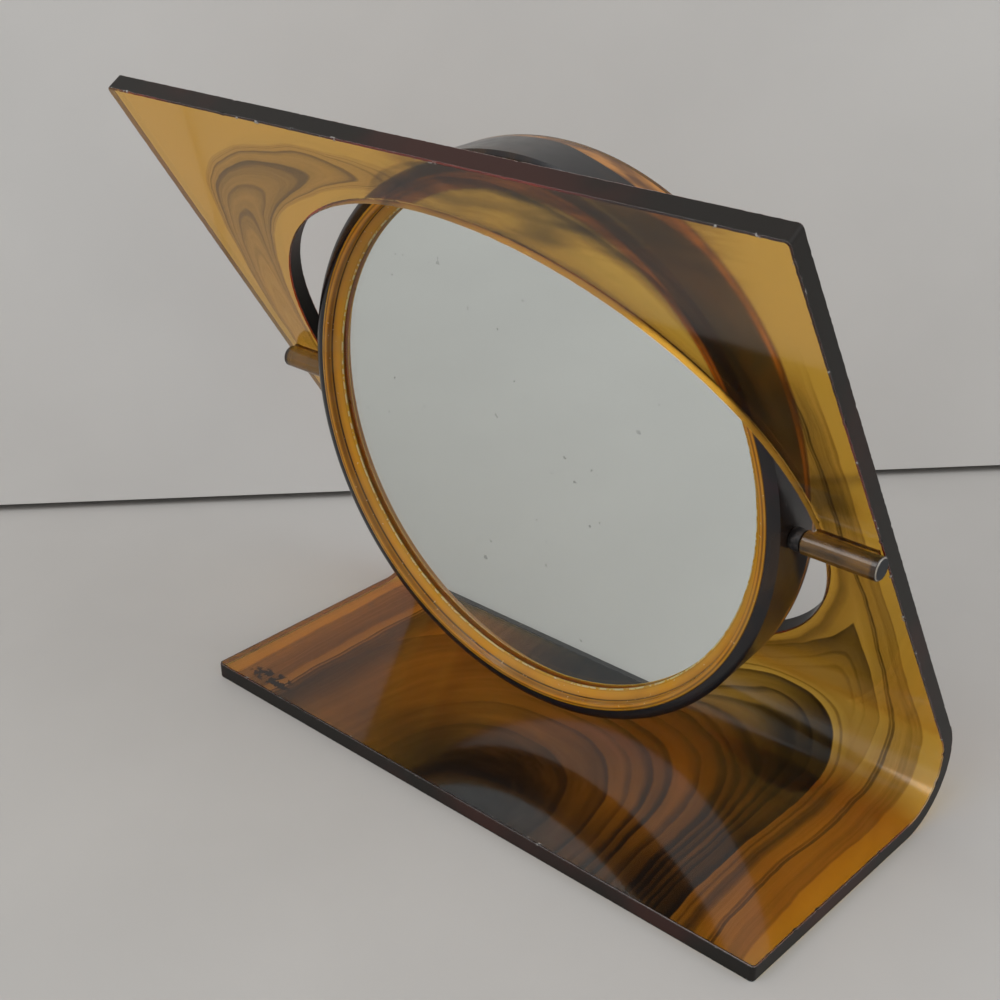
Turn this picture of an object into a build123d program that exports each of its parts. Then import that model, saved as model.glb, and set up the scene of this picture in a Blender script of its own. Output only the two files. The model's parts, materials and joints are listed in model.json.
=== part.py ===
from build123d import *
import math
import os

# A tilting table mirror. One thick acrylic sheet is bent into a base and a
# panel that leans forward over it, and a round drum with a looking glass on
# each face turns on two pins in the panel's big round hole.
# Lengths are millimetres and angles degrees. The origin is on the table under
# the middle of the stand, +X is the viewer's right, +Y goes back, +Z is up.

# Bent sheet
sheet_width = 200.0
sheet_thickness = 5.0
base_flat = 73.4            # flat part of the base, from its front edge to the bend
bend_inner_radius = 13.6
bend_turn = 122.7           # how far the sheet turns at the bend
hole_radius = 82.3
margin_below_hole = 4.3     # flat panel between the bend and the round hole
margin_above_hole = 18.4    # between the hole and the panel's top edge
corner_radius = 1.2
arris = 0.3                 # small flat along the sheet's cut edges

# Pivot rods, cemented flat on the panel's front face
axis_above_hole_centre = 2.0
rod_radius = 3.0
rod_end_chamfer = 0.4
left_rod_inset = 4.4        # the left rod stops short of the sheet's edge
right_rod_overhang = 0.9    # the right rod stands a little past it
cement_film = 0.1           # between a rod and the panel
cement_width = 4.6
cement_height = 1.3
cement_end_margin = 1.0     # bare length of rod at each end of its cement

# Pivot pins
pin_radius = 1.2
pin_in_rod = 8.0
rod_bore_extra_depth = 1.5
pin_running_gap = 0.05
end_gap = 0.3               # between the turning drum and a rod's end
spacer_length = 2.8         # sleeve that fills the right-hand side play
spacer_radius = 2.6
spacer_gap = 0.05           # between the sleeve and the drum
pin_root_gap = 0.2          # the pins stop short of the bosses' inner faces

# Drum, in its own frame: radii from its centre line, heights towards its front
drum_lean = 3.7             # the front glass looks slightly down
drum_side_shift = 0.75      # the drum sits against its right-hand side
case_gap = 4.8              # between the drum and the edge of the hole
case_draft = 0.7            # how much narrower the drum is at the rear
rim_height = 5.7            # outer edge of the front rim, above the pivot axis
rim_rise = 1.0
rim_crown = 0.3
rim_width = 3.0
case_rear_height = -9.8
ledge_width = 1.3           # step inside the case that both bezels seat on
boss_depth = 6.0            # thick places inside the case that hold the pins
boss_angle = 8.0
boss_gap = 0.4              # between a boss and the front glass
seat_gap = 0.05             # between a bezel's skirt and the case

# Front bezel and glass
skirt_width = 2.2           # from the case's inner wall to the glass's seat
front_skirt_depth = 1.5     # how far the skirt reaches down past the glass's face
bead_width = 2.0
bead_crown = 0.2
step_drop = 1.9
step_slope = 0.3
lip_width = 2.5             # how far the lip reaches in over the glass
lip_edge = 0.2
glass_thickness = 2.0
glass_front_height = 3.1
glass_edge_gap = 0.3

# Rear bezel and magnifying glass
rear_flange = 1.5
rear_flange_round = 0.5
rear_lip_edge = 0.6
rear_skirt_depth = 1.8
rear_curve_radius = 600.0

# Packing between the two glasses
card_thickness = 0.8
packing_edge_gap = 0.2
packing_ring_width = 4.3
packing_slack = 0.05

# Places worked out from the sizes above, in the plane across the sheet. The
# bend's angle is measured from straight down at the end of the base.
turn = math.radians(bend_turn)
bend_outer_radius = bend_inner_radius + sheet_thickness
bend_height = sheet_thickness + bend_inner_radius
hole_from_bend = margin_below_hole + hole_radius
panel_flat = hole_from_bend + hole_radius + margin_above_hole


def on_bend(radius, angle):
    """Distance behind the base's front edge and height of a point on the bend."""
    return base_flat + radius * math.sin(angle), bend_height - radius * math.cos(angle)


def up_panel(start, distance):
    """A point that far up the panel from one on the bend's upper end."""
    return start[0] + distance * math.cos(turn), start[1] + distance * math.sin(turn)


inner_end = on_bend(bend_inner_radius, turn)
outer_end = on_bend(bend_outer_radius, turn)
panel_top_inner = up_panel(inner_end, panel_flat)
panel_top_outer = up_panel(outer_end, panel_flat)
foremost = min(0.0, panel_top_inner[0])
hindmost = base_flat + bend_outer_radius
front_edge_y = -(foremost + hindmost) / 2

# The panel's plane has its origin on the front face at the bend, x to the
# right, y up the panel and z out of the front face.
panel_plane = Plane(
    origin=(0, front_edge_y + inner_end[0], inner_end[1]),
    x_dir=(1, 0, 0),
    z_dir=(0, -math.sin(turn), math.cos(turn)),
)
pivot = panel_plane.from_local_coords(
    (0, hole_from_bend + axis_above_hole_centre, rod_radius + cement_film)
)

# The drum's plane has its origin on the pivot axis, y up and z to the front.
lean = math.radians(drum_lean)
drum_plane = Plane(
    origin=(drum_side_shift, pivot.Y, pivot.Z),
    x_dir=(1, 0, 0),
    z_dir=(0, -math.cos(lean), -math.sin(lean)),
)
case_radius = hole_radius - case_gap
case_rear_radius = case_radius - case_draft
case_inner_radius = case_radius - rim_width
ledge_radius = case_inner_radius - ledge_width
rim_top = rim_height + rim_rise

# Radii and heights inside the drum
bezel_outer_radius = case_inner_radius - seat_gap
skirt_radius = case_inner_radius - skirt_width
glass_radius = skirt_radius - glass_edge_gap
lip_radius = glass_radius - lip_width
boss_inner_radius = glass_radius + boss_gap
packing_radius = glass_radius - packing_edge_gap
step_top_radius = case_inner_radius - bead_width
ledge_front_height = glass_front_height - front_skirt_depth
ledge_rear_height = case_rear_height + rear_skirt_depth
glass_rear_height = glass_front_height - glass_thickness
card_rear_height = glass_rear_height - card_thickness

# The drum's widest reach at the height of a rod, on either side of its axis
draft_slope = case_draft / (rim_height - case_rear_height)
reach_at_rod = case_radius - draft_slope * (rim_height - rod_radius)

# Ends of the rods, pins and spacer along the pivot axis
left_rod_inner = drum_side_shift - reach_at_rod - end_gap
left_rod_outer = -sheet_width / 2 + left_rod_inset
spacer_inner = drum_side_shift + reach_at_rod + spacer_gap
spacer_outer = spacer_inner + spacer_length
right_rod_inner = spacer_outer + end_gap
right_rod_outer = sheet_width / 2 + right_rod_overhang
pin_root = boss_inner_radius + pin_root_gap
left_pin_inner = drum_side_shift - pin_root
right_pin_inner = drum_side_shift + pin_root


def revolved(*edges):
    """Turn an outline of radii and heights round the drum's centre line."""
    return revolve(make_face(list(edges)), axis=Axis.Z)


def rh(radius, height):
    """A point of a drum outline."""
    return (radius, 0, height)


def loop(*points):
    """Closed outline of straight runs through drum points."""
    return Polyline(*[rh(*p) for p in points], close=True)


def across(radius, x_from, x_to):
    """Round bar along the pivot axis, between two distances to the right."""
    low, high = min(x_from, x_to), max(x_from, x_to)
    bar = Cylinder(radius, high - low, align=(Align.CENTER, Align.CENTER, Align.MIN))
    return Pos(low, pivot.Y, pivot.Z) * Rot(0, 90, 0) * bar


def bowed(radius, depth_at_rim, rim_radius, at_radius):
    """Height of a spherical face at one radius, given its height at the rim."""
    sag_rim = radius - math.sqrt(radius ** 2 - rim_radius ** 2)
    sag = radius - math.sqrt(radius ** 2 - at_radius ** 2)
    return depth_at_rim + sag_rim - sag


def stand_sheet():
    """Base, bend and panel in one piece, with the round hole through the panel."""

    def yz(point):
        return (0, front_edge_y + point[0], point[1])

    outline = [
        Line(yz((0, 0)), yz((base_flat, 0))),
        ThreePointArc(
            yz((base_flat, 0)), yz(on_bend(bend_outer_radius, turn / 2)), yz(outer_end)
        ),
        Line(yz(outer_end), yz(panel_top_outer)),
        Line(yz(panel_top_outer), yz(panel_top_inner)),
        Line(yz(panel_top_inner), yz(inner_end)),
        ThreePointArc(
            yz(inner_end),
            yz(on_bend(bend_inner_radius, turn / 2)),
            yz((base_flat, sheet_thickness)),
        ),
        Line(yz((base_flat, sheet_thickness)), yz((0, sheet_thickness))),
        Line(yz((0, sheet_thickness)), yz((0, 0))),
    ]
    sheet = extrude(make_face(outline), amount=sheet_width / 2, dir=(1, 0, 0), both=True)
    across_thickness = [
        edge for edge in sheet.edges().filter_by(GeomType.LINE)
        if abs(edge.length - sheet_thickness) < 1e-6
    ]
    sheet = fillet(across_thickness, corner_radius)
    hole = Cylinder(hole_radius, 4 * sheet_thickness)
    sheet -= panel_plane * Pos(0, hole_from_bend, 0) * hole
    inner_lengths = (sheet_thickness, sheet_width)
    cut_outline = [
        edge for edge in sheet.edges()
        if edge.geom_type != GeomType.LINE
        or all(abs(edge.length - length) > 1e-6 for length in inner_lengths)
    ]
    return chamfer(cut_outline, arris)


def pivot_rod(inner, outer):
    """Round rod along the axis, bored at its inner end for the pin."""
    rod = across(rod_radius, inner, outer)
    ends = rod.edges().filter_by(GeomType.CIRCLE)
    rod = chamfer(ends, rod_end_chamfer)
    direction = 1 if outer > inner else -1
    depth = pin_in_rod + rod_bore_extra_depth
    return rod - across(pin_radius + pin_running_gap, inner, inner + direction * depth)


def rod_cement(inner, outer):
    """Hardened cement between a rod and the panel, with a fillet on each side."""
    direction = 1 if outer > inner else -1
    start = direction * max(abs(inner), hole_radius) + direction * cement_end_margin
    end = direction * min(abs(outer), sheet_width / 2) - direction * cement_end_margin
    block = Box(
        abs(end - start), cement_width, cement_height,
        align=(Align.CENTER, Align.CENTER, Align.MIN),
    )
    up = hole_from_bend + axis_above_hole_centre
    return panel_plane * Pos((start + end) / 2, up, 0) * block - across(rod_radius, inner, outer)


def mirror_case():
    """Drum wall with a rounded front rim, an inner ledge and a boss at each pin."""
    rim_middle = rh(case_radius - rim_width / 2, rim_height + rim_rise / 2 + rim_crown)
    wall = revolved(
        Polyline(
            rh(case_inner_radius, rim_top),
            rh(case_inner_radius, ledge_front_height),
            rh(ledge_radius, ledge_front_height),
            rh(ledge_radius, ledge_rear_height),
            rh(case_inner_radius, ledge_rear_height),
            rh(case_inner_radius, case_rear_height),
            rh(case_rear_radius, case_rear_height),
            rh(case_radius, rim_height),
        ),
        ThreePointArc(
            rh(case_radius, rim_height), rim_middle, rh(case_inner_radius, rim_top)
        ),
    )
    section = make_face(loop(
        (boss_inner_radius, ledge_front_height - boss_depth),
        (ledge_radius + ledge_width / 2, ledge_front_height - boss_depth),
        (ledge_radius + ledge_width / 2, ledge_front_height),
        (boss_inner_radius, ledge_front_height),
    ))
    boss = Rot(0, 0, -boss_angle / 2) * revolve(section, Axis.Z, boss_angle)
    case = drum_plane * (wall + boss + Rot(0, 0, 180) * boss)
    return case - across(pin_radius, -sheet_width / 2, sheet_width / 2)


def front_bezel():
    """Bead, step and sloping lip that frame the front glass."""
    bead_middle = rh(case_inner_radius - bead_width / 2, rim_top + bead_crown)
    step_bottom = rh(step_top_radius - step_slope, rim_top - step_drop)
    ring = revolved(
        ThreePointArc(
            rh(bezel_outer_radius, rim_top), bead_middle, rh(step_top_radius, rim_top)
        ),
        Polyline(
            rh(step_top_radius, rim_top),
            step_bottom,
            rh(lip_radius, glass_front_height + lip_edge),
            rh(lip_radius, glass_front_height),
            rh(skirt_radius, glass_front_height),
            rh(skirt_radius, ledge_front_height),
            rh(bezel_outer_radius, ledge_front_height),
            rh(bezel_outer_radius, rim_top),
        ),
    )
    return drum_plane * ring


def rear_bezel():
    """Flange over the rear of the case, with a skirt round the rear glass."""
    flange_height = case_rear_height - rear_flange
    ring = revolved(loop(
        (bezel_outer_radius, ledge_rear_height),
        (skirt_radius, ledge_rear_height),
        (skirt_radius, case_rear_height),
        (lip_radius, case_rear_height),
        (lip_radius, case_rear_height - rear_lip_edge),
        (skirt_radius, flange_height),
        (case_rear_radius - rear_flange_round, flange_height),
        (case_rear_radius, flange_height + rear_flange_round),
        (case_rear_radius, case_rear_height),
        (bezel_outer_radius, case_rear_height),
    ))
    return drum_plane * ring


def disc(radius, low, high):
    """Flat round plate of the drum between two heights."""
    plate = Cylinder(radius, high - low, align=(Align.CENTER, Align.CENTER, Align.MIN))
    return drum_plane * Pos(0, 0, low) * plate


def rear_height(at_radius, inside):
    """Height of the rear glass's outer or inner face at one radius."""
    extra = glass_thickness if inside else 0
    return bowed(rear_curve_radius, case_rear_height, glass_radius, at_radius) + extra


def rear_mirror_glass():
    """Magnifying glass, hollow as seen from behind."""
    half = glass_radius / 2

    def face(inside):
        return ThreePointArc(
            rh(0, rear_height(0, inside)),
            rh(half, rear_height(half, inside)),
            rh(glass_radius, rear_height(glass_radius, inside)),
        )

    glass = revolved(
        face(False),
        Line(rh(glass_radius, rear_height(glass_radius, False)),
             rh(glass_radius, rear_height(glass_radius, True))),
        face(True),
        Line(rh(0, rear_height(0, True)), rh(0, rear_height(0, False))),
    )
    return drum_plane * glass


def packing_ring():
    """Card ring that keeps the two glasses against their bezels."""
    inner = packing_radius - packing_ring_width
    low = rear_height(inner, True) + packing_slack
    return disc(packing_radius, low, card_rear_height) - disc(inner, low, card_rear_height)


def pin_spacer():
    """Sleeve on the right-hand pin, between the drum and the rod."""
    sleeve = across(spacer_radius, spacer_inner, spacer_outer)
    return sleeve - across(pin_radius + pin_running_gap, spacer_inner, spacer_outer)


parts = {
    "stand_sheet": stand_sheet(),
    "left_pivot_rod": pivot_rod(left_rod_inner, left_rod_outer),
    "right_pivot_rod": pivot_rod(right_rod_inner, right_rod_outer),
    "left_rod_cement": rod_cement(left_rod_inner, left_rod_outer),
    "right_rod_cement": rod_cement(right_rod_inner, right_rod_outer),
    "mirror_case": mirror_case(),
    "front_bezel": front_bezel(),
    "front_mirror_glass": disc(glass_radius, glass_rear_height, glass_front_height),
    "backing_card": disc(packing_radius, card_rear_height, glass_rear_height),
    "packing_ring": packing_ring(),
    "rear_mirror_glass": rear_mirror_glass(),
    "rear_bezel": rear_bezel(),
    "left_pivot_pin": across(pin_radius, left_pin_inner, left_rod_inner - pin_in_rod),
    "right_pivot_pin": across(pin_radius, right_pin_inner, right_rod_inner + pin_in_rod),
    "right_pin_spacer": pin_spacer(),
}

os.makedirs("parts", exist_ok=True)
for name, shape in parts.items():
    export_step(shape, f"parts/{name}.step")
print("pivot", round(pivot.Y, 3), round(pivot.Z, 3), "front edge y", round(front_edge_y, 3))
print("panel top", panel_top_inner, "case radius", case_radius)
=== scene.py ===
import math

import bmesh
import bpy
import numpy as np
from mathutils import Matrix, Vector
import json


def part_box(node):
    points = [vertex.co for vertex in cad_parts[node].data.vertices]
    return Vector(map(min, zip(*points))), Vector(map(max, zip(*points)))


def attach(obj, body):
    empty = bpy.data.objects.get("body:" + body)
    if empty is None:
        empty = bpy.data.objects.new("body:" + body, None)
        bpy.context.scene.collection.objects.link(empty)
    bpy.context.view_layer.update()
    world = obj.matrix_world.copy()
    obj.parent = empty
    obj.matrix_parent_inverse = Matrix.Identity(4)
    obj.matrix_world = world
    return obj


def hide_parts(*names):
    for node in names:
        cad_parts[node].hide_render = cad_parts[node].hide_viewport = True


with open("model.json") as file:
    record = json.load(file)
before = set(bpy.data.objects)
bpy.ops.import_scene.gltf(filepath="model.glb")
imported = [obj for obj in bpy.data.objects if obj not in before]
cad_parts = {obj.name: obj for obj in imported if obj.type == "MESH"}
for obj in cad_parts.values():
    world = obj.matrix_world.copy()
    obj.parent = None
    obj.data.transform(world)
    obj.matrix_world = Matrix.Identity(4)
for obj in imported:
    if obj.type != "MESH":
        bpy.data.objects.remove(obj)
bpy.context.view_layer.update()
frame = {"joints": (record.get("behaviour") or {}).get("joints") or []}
mm = 0.001

# The viewpoint: to the right of the mirror and above it, looking down across it.
# Heading turns to the left of the front-to-back line, and pitch is above the horizon.
picture_pixels = 1000
focal_pixels = 1530.2
centre_x_pixels, centre_y_pixels = 445.6, 588.6
heading, pitch, roll = math.radians(44.183), math.radians(-29.587), math.radians(-0.94)
camera_place = Vector((236.75, -281.13, 262.69)) * mm

camera_data = bpy.data.cameras.new("viewpoint")
camera_data.sensor_width = 36
camera_data.lens = camera_data.sensor_width * focal_pixels / picture_pixels
camera_data.shift_x = 0.5 - centre_x_pixels / picture_pixels
camera_data.shift_y = centre_y_pixels / picture_pixels - 0.5
camera_data.clip_start = 10 * mm
camera = bpy.data.objects.new("viewpoint", camera_data)
camera.matrix_world = (
    Matrix.Translation(camera_place)
    @ Matrix.Rotation(heading, 4, "Z")
    @ Matrix.Rotation(math.radians(90) + pitch, 4, "X")
    @ Matrix.Rotation(roll, 4, "Z")
)
bpy.context.scene.collection.objects.link(camera)
bpy.context.scene.camera = camera
bpy.context.scene.view_settings.view_transform = "Standard"


# The setting: a pale painted shelf and the pale wall behind it, under soft even light.
# The wall runs across the view, a hand's width behind the mirror.
shelf_half_size = 1.6
shelf_gap = 0.1 * mm            # the sheet's underside stays clear of the shelf's own face
wall_left = Vector((-259.3, -18.2, 0)) * mm
wall_right = Vector((9.3, 272.6, 0)) * mm
wall_height = 1.2
wall_lengths, wall_lengths_left = 9, 4      # how many such runs it has, in all and to the left
wall_foot_gap, wall_foot_depth = 3 * mm, 40 * mm      # the shaded joint under the wall
wall_forward = 6.2 * mm         # its face stands this far in front of that line
shelf_colour = (0.43, 0.415, 0.395, 1)
wall_colour = (0.52, 0.507, 0.485, 1)
paint_unevenness = 0.06
room_colour, room_strength = (0.95, 0.97, 1.0, 1), 0.80


class Wire:
    """One socket of a material's nodes. A sum or product of wires adds Math nodes."""

    def __init__(self, tree, socket=None):
        self.tree, self.socket = tree, socket

    def node(self, kind, settings=None, sockets=None, output=0):
        """Adds a node: its settings first, then the values or wires of its sockets."""
        made = self.tree.nodes.new(kind)
        for name, value in (settings or {}).items():
            if name == "stops":
                for number, (place, colour) in enumerate(value):
                    stops = made.color_ramp.elements
                    stop = stops[number] if number < 2 else stops.new(place)
                    stop.position, stop.color = place, colour
            else:
                setattr(made, name, value)
        for name, value in (sockets or {}).items():
            if isinstance(value, Wire):
                self.tree.links.new(value.socket, made.inputs[name])
            else:
                made.inputs[name].default_value = value
        return Wire(self.tree, made.outputs[output]) if made.outputs else None

    def other(self, output):
        """Another output of the same node."""
        return Wire(self.tree, self.socket.node.outputs[output])

    def maths(self, operation, *values):
        """The named operation of a Math node on this wire and any further values."""
        sockets = dict(enumerate((self, *values)))
        return self.node("ShaderNodeMath", {"operation": operation}, sockets)

    def vector(self, operation, *values):
        """The named operation of a Vector Math node on this wire and any further values."""
        sockets = dict(enumerate((self, *values)))
        return self.node("ShaderNodeVectorMath", {"operation": operation}, sockets)

    def __add__(self, other):
        return self.maths("ADD", other)

    def __sub__(self, other):
        return self.maths("SUBTRACT", other)

    def __mul__(self, other):
        return self.maths("MULTIPLY", other)

    def __truediv__(self, other):
        return self.maths("DIVIDE", other)

    def __pow__(self, other):
        return self.maths("POWER", other)

    def __rsub__(self, other):
        return self.node("ShaderNodeMath", {"operation": "SUBTRACT"}, {0: other, 1: self})

    __radd__, __rmul__ = __add__, __mul__

    def rise(self, low, high):
        """0 at low and 1 at high, with a smooth step between them. High may be the lower."""
        return self.node(
            "ShaderNodeMapRange", {"interpolation_type": "SMOOTHSTEP"},
            {"Value": self, "From Min": low, "From Max": high},
        )

    def graph(self, *points):
        """Broken line through points, each a place and a height from 0 to 1."""
        low, high = points[0][0], points[-1][0]
        stops = [((place - low) / (high - low), (height,) * 3 + (1,)) for place, height in points]
        share = self.node(
            "ShaderNodeMapRange", {}, {"Value": self, "From Min": low, "From Max": high}
        )
        return share.node("ShaderNodeValToRGB", {"stops": stops}, {"Fac": share})

    def tint(self, low, high):
        """The colour that lies as far from low to high as this wire is from 0 to 1."""
        return self.node("ShaderNodeMix", {"data_type": "RGBA"}, {0: self, 6: low, 7: high}, 2)

    def beside(self, other):
        """Vector of this wire, another one and 0."""
        return self.node("ShaderNodeCombineXYZ", {}, {0: self, 1: other})

    def noise(self, scale, detail=2.0, rough=0.5, turn=0.0):
        """Soft noise about 0.5 at the place that this wire, a vector, names."""
        return self.node(
            "ShaderNodeTexNoise", {},
            {"Vector": self, "Scale": scale, "Detail": detail, "Roughness": rough,
             "Distortion": turn},
        )


def start_material(name):
    """A new material with no nodes, and a wire to begin them with."""
    material = bpy.data.materials.new(name)
    material.use_nodes = True
    material.node_tree.nodes.clear()
    return material, Wire(material.node_tree)


def end_material(material, shader, volume=None):
    """Joins the finished shader, and any volume, to the material's output."""
    sockets = {"Surface": shader} if volume is None else {"Surface": shader, "Volume": volume}
    shader.node("ShaderNodeOutputMaterial", {}, sockets)
    return material


def end_plain(material, paint, sockets):
    """Ends a material with one principled shader that has these sockets."""
    return end_material(material, paint.node("ShaderNodeBsdfPrincipled", {}, sockets))


def object_place(paint):
    """Wire of a point's own coordinates on its piece."""
    return paint.node("ShaderNodeTexCoord", {}, {}, "Object")


def add_piece(name, patches, materials, extra=None, sharp=30, merge=1e-6):
    """Joins grids of points into one mesh. A patch is its points, as rows by columns by 3,
    and its material's number. Points closer than merge become one, and a quad with two
    equal corners becomes a triangle. Further columns of the points go to the attribute
    named extra. Edges that turn by more than sharp degrees stay sharp."""
    points, faces, slots, used = [], [], [], 0
    for grid, slot in patches:
        rows, columns = grid.shape[:2]
        number = used + np.arange(rows * columns).reshape(rows, columns)
        quads = np.stack(
            [number[:-1, :-1], number[:-1, 1:], number[1:, 1:], number[1:, :-1]], -1
        ).reshape(-1, 4)
        points.append(grid.reshape(rows * columns, -1))
        faces.append(quads)
        slots.append(np.full(len(quads), slot))
        used += rows * columns
    points, faces, slots = np.vstack(points), np.vstack(faces), np.concatenate(slots)
    cells = np.round(points[:, :3] / merge).astype(np.int64)
    _, first, same = np.unique(cells, axis=0, return_index=True, return_inverse=True)
    faces = same.reshape(-1)[faces]
    kept = faces != np.roll(faces, -1, axis=1)
    whole, three = kept.sum(1) == 4, kept.sum(1) == 3
    corners = faces[whole].tolist() + faces[three][kept[three]].reshape(-1, 3).tolist()

    mesh = bpy.data.meshes.new(name)
    mesh.from_pydata(points[first, :3].tolist(), [], corners)
    mesh.polygons.foreach_set("material_index", np.concatenate([slots[whole], slots[three]]))
    if extra:
        attribute = mesh.attributes.new(extra, "FLOAT_VECTOR", "POINT")
        attribute.data.foreach_set("vector", points[first, 3:6].astype(np.float32).ravel())
    work = bmesh.new()
    work.from_mesh(mesh)
    bmesh.ops.recalc_face_normals(work, faces=work.faces)
    work.to_mesh(mesh)
    work.free()
    mesh.shade_smooth()
    mesh.set_sharp_from_angle(angle=math.radians(sharp))
    for material in materials:
        mesh.materials.append(material)
    piece = bpy.data.objects.new(name, mesh)
    bpy.context.scene.collection.objects.link(piece)
    return piece


def painted(name, colour, open_behind=False):
    """Dull house paint with a faint unevenness. With open_behind only its face is there,
    as on the wall of a room set, so the wall never stands between a viewer and the mirror."""
    material, paint = start_material(name)
    darker = tuple((1 - paint_unevenness) * part for part in colour[:3]) + (1,)
    place = object_place(paint)
    shade = place.noise(9, 4).rise(0.3, 0.7).tint(darker, colour)
    shader = paint.node(
        "ShaderNodeBsdfPrincipled", {}, {"Base Color": shade, "Roughness": 0.55}
    )
    if open_behind:
        behind = paint.node("ShaderNodeNewGeometry", {}, {}, "Backfacing")
        clear = paint.node("ShaderNodeBsdfTransparent")
        shader = paint.node("ShaderNodeMixShader", {}, {0: behind, 1: shader, 2: clear})
    return end_material(material, shader)


def flat_patch(corner, side, up):
    """Four points of a flat panel that starts at corner and spans two vectors."""
    corner, side, up = (np.array(v) for v in (corner, side, up))
    return np.array([[corner, corner + side], [corner + up, corner + side + up]])


shelf_corner = (-shelf_half_size, -shelf_half_size, -shelf_gap)
shelf_span = 2 * shelf_half_size
shelf = add_piece(
    "shelf",
    [(flat_patch(shelf_corner, (shelf_span, 0, 0), (0, shelf_span, 0)), 0)],
    [painted("shelf_paint", shelf_colour)],
)
wall_run = wall_lengths * (wall_right - wall_left)
wall_inward = Vector((-wall_run.y, wall_run.x, 0)).normalized()
wall_start = wall_left - wall_lengths_left / wall_lengths * wall_run - wall_inward * wall_forward
wall_start.z = wall_foot_gap
wall_back = wall_inward * wall_foot_depth
wall = add_piece(
    "wall",
    [
        (flat_patch(wall_start, wall_run, (0, 0, wall_height)), 0),
        (flat_patch(wall_start, wall_run, wall_back), 0),
        (flat_patch(wall_start + wall_back, wall_run, (0, 0, -wall_foot_gap - shelf_gap)), 0),
    ],
    [painted("wall_paint", wall_colour, open_behind=True)],
)
wall.data.flip_normals()        # its faces look at the mirror

world = bpy.data.worlds.new("room")
world.use_nodes = True
background = world.node_tree.nodes["Background"].inputs
background["Color"].default_value = room_colour
background["Strength"].default_value = room_strength
bpy.context.scene.world = world


def add_lamp(name, place, target, size, power):
    """Square soft lamp that shines from place to target."""
    data = bpy.data.lights.new(name, "AREA")
    data.shape, data.size, data.energy = "SQUARE", size, power
    lamp = bpy.data.objects.new(name, data)
    turn = (Vector(target) - Vector(place)).to_track_quat("-Z", "Y")
    lamp.matrix_world = Matrix.Translation(place) @ turn.to_matrix().to_4x4()
    bpy.context.scene.collection.objects.link(lamp)


add_lamp("window", place=(-0.2, -1.2, 1.5), target=(0, 0, 0.1), size=1.2, power=15)
add_lamp("far_window", place=(1.3, 0.2, 1.0), target=(0, 0.1, 0), size=1.2, power=7)


# The stand: one acrylic sheet, laser-flat, bent warm into base and panel, with a round
# hole cut through the panel. The colour is cast in: clear amber with smoky brown bands
# that flow along the edges and round the hole. Two dark marks among them are painted
# shade, where the shaded bezel and the shaded shelf show through the panel. Its cut
# edges are left near-black.
sheet_thickness = 5.0 * mm
base_flat = 73.4 * mm
bend_inner_radius = 13.6 * mm
bend_turn = math.radians(122.7)
hole_radius = 82.3 * mm
margin_below_hole = 4.3 * mm
margin_above_hole = 18.37 * mm
corner_radius = 1.2 * mm
arris = 0.3 * mm

sheet_low, sheet_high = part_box("stand_sheet")
sheet_width = sheet_high.x - sheet_low.x
front_edge_y = sheet_high.y - base_flat - bend_inner_radius - sheet_thickness
bend_length = bend_inner_radius * bend_turn
panel_start = base_flat + bend_length
hole_along = panel_start + margin_below_hole + hole_radius
sheet_length = hole_along + hole_radius + margin_above_hole
hole_across = sheet_width / 2

column_step = 1.0 * mm
bend_steps = 30
ring_rows = 22
edge_fine_steps = np.array([0, 0.15, 0.35, 0.6, 0.9, 1.2, 1.8]) * mm
arris_unevenness = 0.4
nick_share, nick_least, nick_spread = 0.02, 0.10 * mm, 0.15 * mm
hair = 1e-9                     # lengths that differ by less are the same


def sheet_point(across, along, depth):
    """Point of the bent sheet: across from its left edge, along its front face from the
    base's front edge, and depth below that face. The base is level, the bend turns about
    an axis above it, and the panel runs on straight. The flat coordinates come after."""
    across, along, depth = np.broadcast_arrays(across, along, depth)
    angle = np.clip((along - base_flat) / bend_inner_radius, 0, bend_turn)
    radius = bend_inner_radius + depth
    ahead = np.minimum(along, base_flat)
    past = np.maximum(along - panel_start, 0)
    y = front_edge_y + ahead + radius * np.sin(angle) + past * math.cos(bend_turn)
    z = sheet_thickness + bend_inner_radius - radius * np.cos(angle)
    z = z + past * math.sin(bend_turn)
    x = across - sheet_width / 2
    return np.stack([x, y, z, across, along, depth], -1)


def graded(length):
    """Steps from 0 to length, finer at both ends."""
    fine = edge_fine_steps
    count = int(round((length - 2 * fine[-1]) / column_step))
    middle = np.linspace(fine[-1], length - fine[-1], count + 1)[1:-1]
    return np.concatenate([fine, middle, length - fine[::-1]])


def outline_point(across, along):
    """Moves the points of a square corner onto its round, a quarter circle, and gives each
    outline point's inward direction. Inside the corner's square a point keeps its bearing
    from the round's centre and takes the greater of its two offsets as its distance."""
    size = np.array([sheet_width, sheet_length])
    place = np.stack(np.broadcast_arrays(across, along), -1)
    centre = np.clip(place, corner_radius, size - corner_radius)
    offset = place - centre
    length = np.linalg.norm(offset, axis=-1, keepdims=True)
    reach = np.abs(offset).max(-1, keepdims=True)
    unit = offset / np.maximum(length, hair)
    return centre + unit * reach, -unit


def chips(place):
    """Width of the small flat along a cut edge: up to two fifths wider from point to point,
    and more at a few nicks. What a point gets is the fraction of a large sine of its place."""
    wild = np.sin(place[..., 0] * 129898 + place[..., 1] * 78233) * 43758.5453
    pick = wild - np.floor(wild)
    other = (pick * 977) % 1
    nick = np.where(pick > 1 - nick_share, nick_least + nick_spread * other, 0)
    return arris * (1 + arris_unevenness * other) + nick


def face_patch(across, along, depth, rim):
    """Grid of a face of the sheet. Points on the rim step in by the width of the flat."""
    place, inward = outline_point(across, along)
    place = np.where(rim[..., None], place + inward * chips(place)[..., None], place)
    return sheet_point(place[..., 0], place[..., 1], depth)


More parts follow.
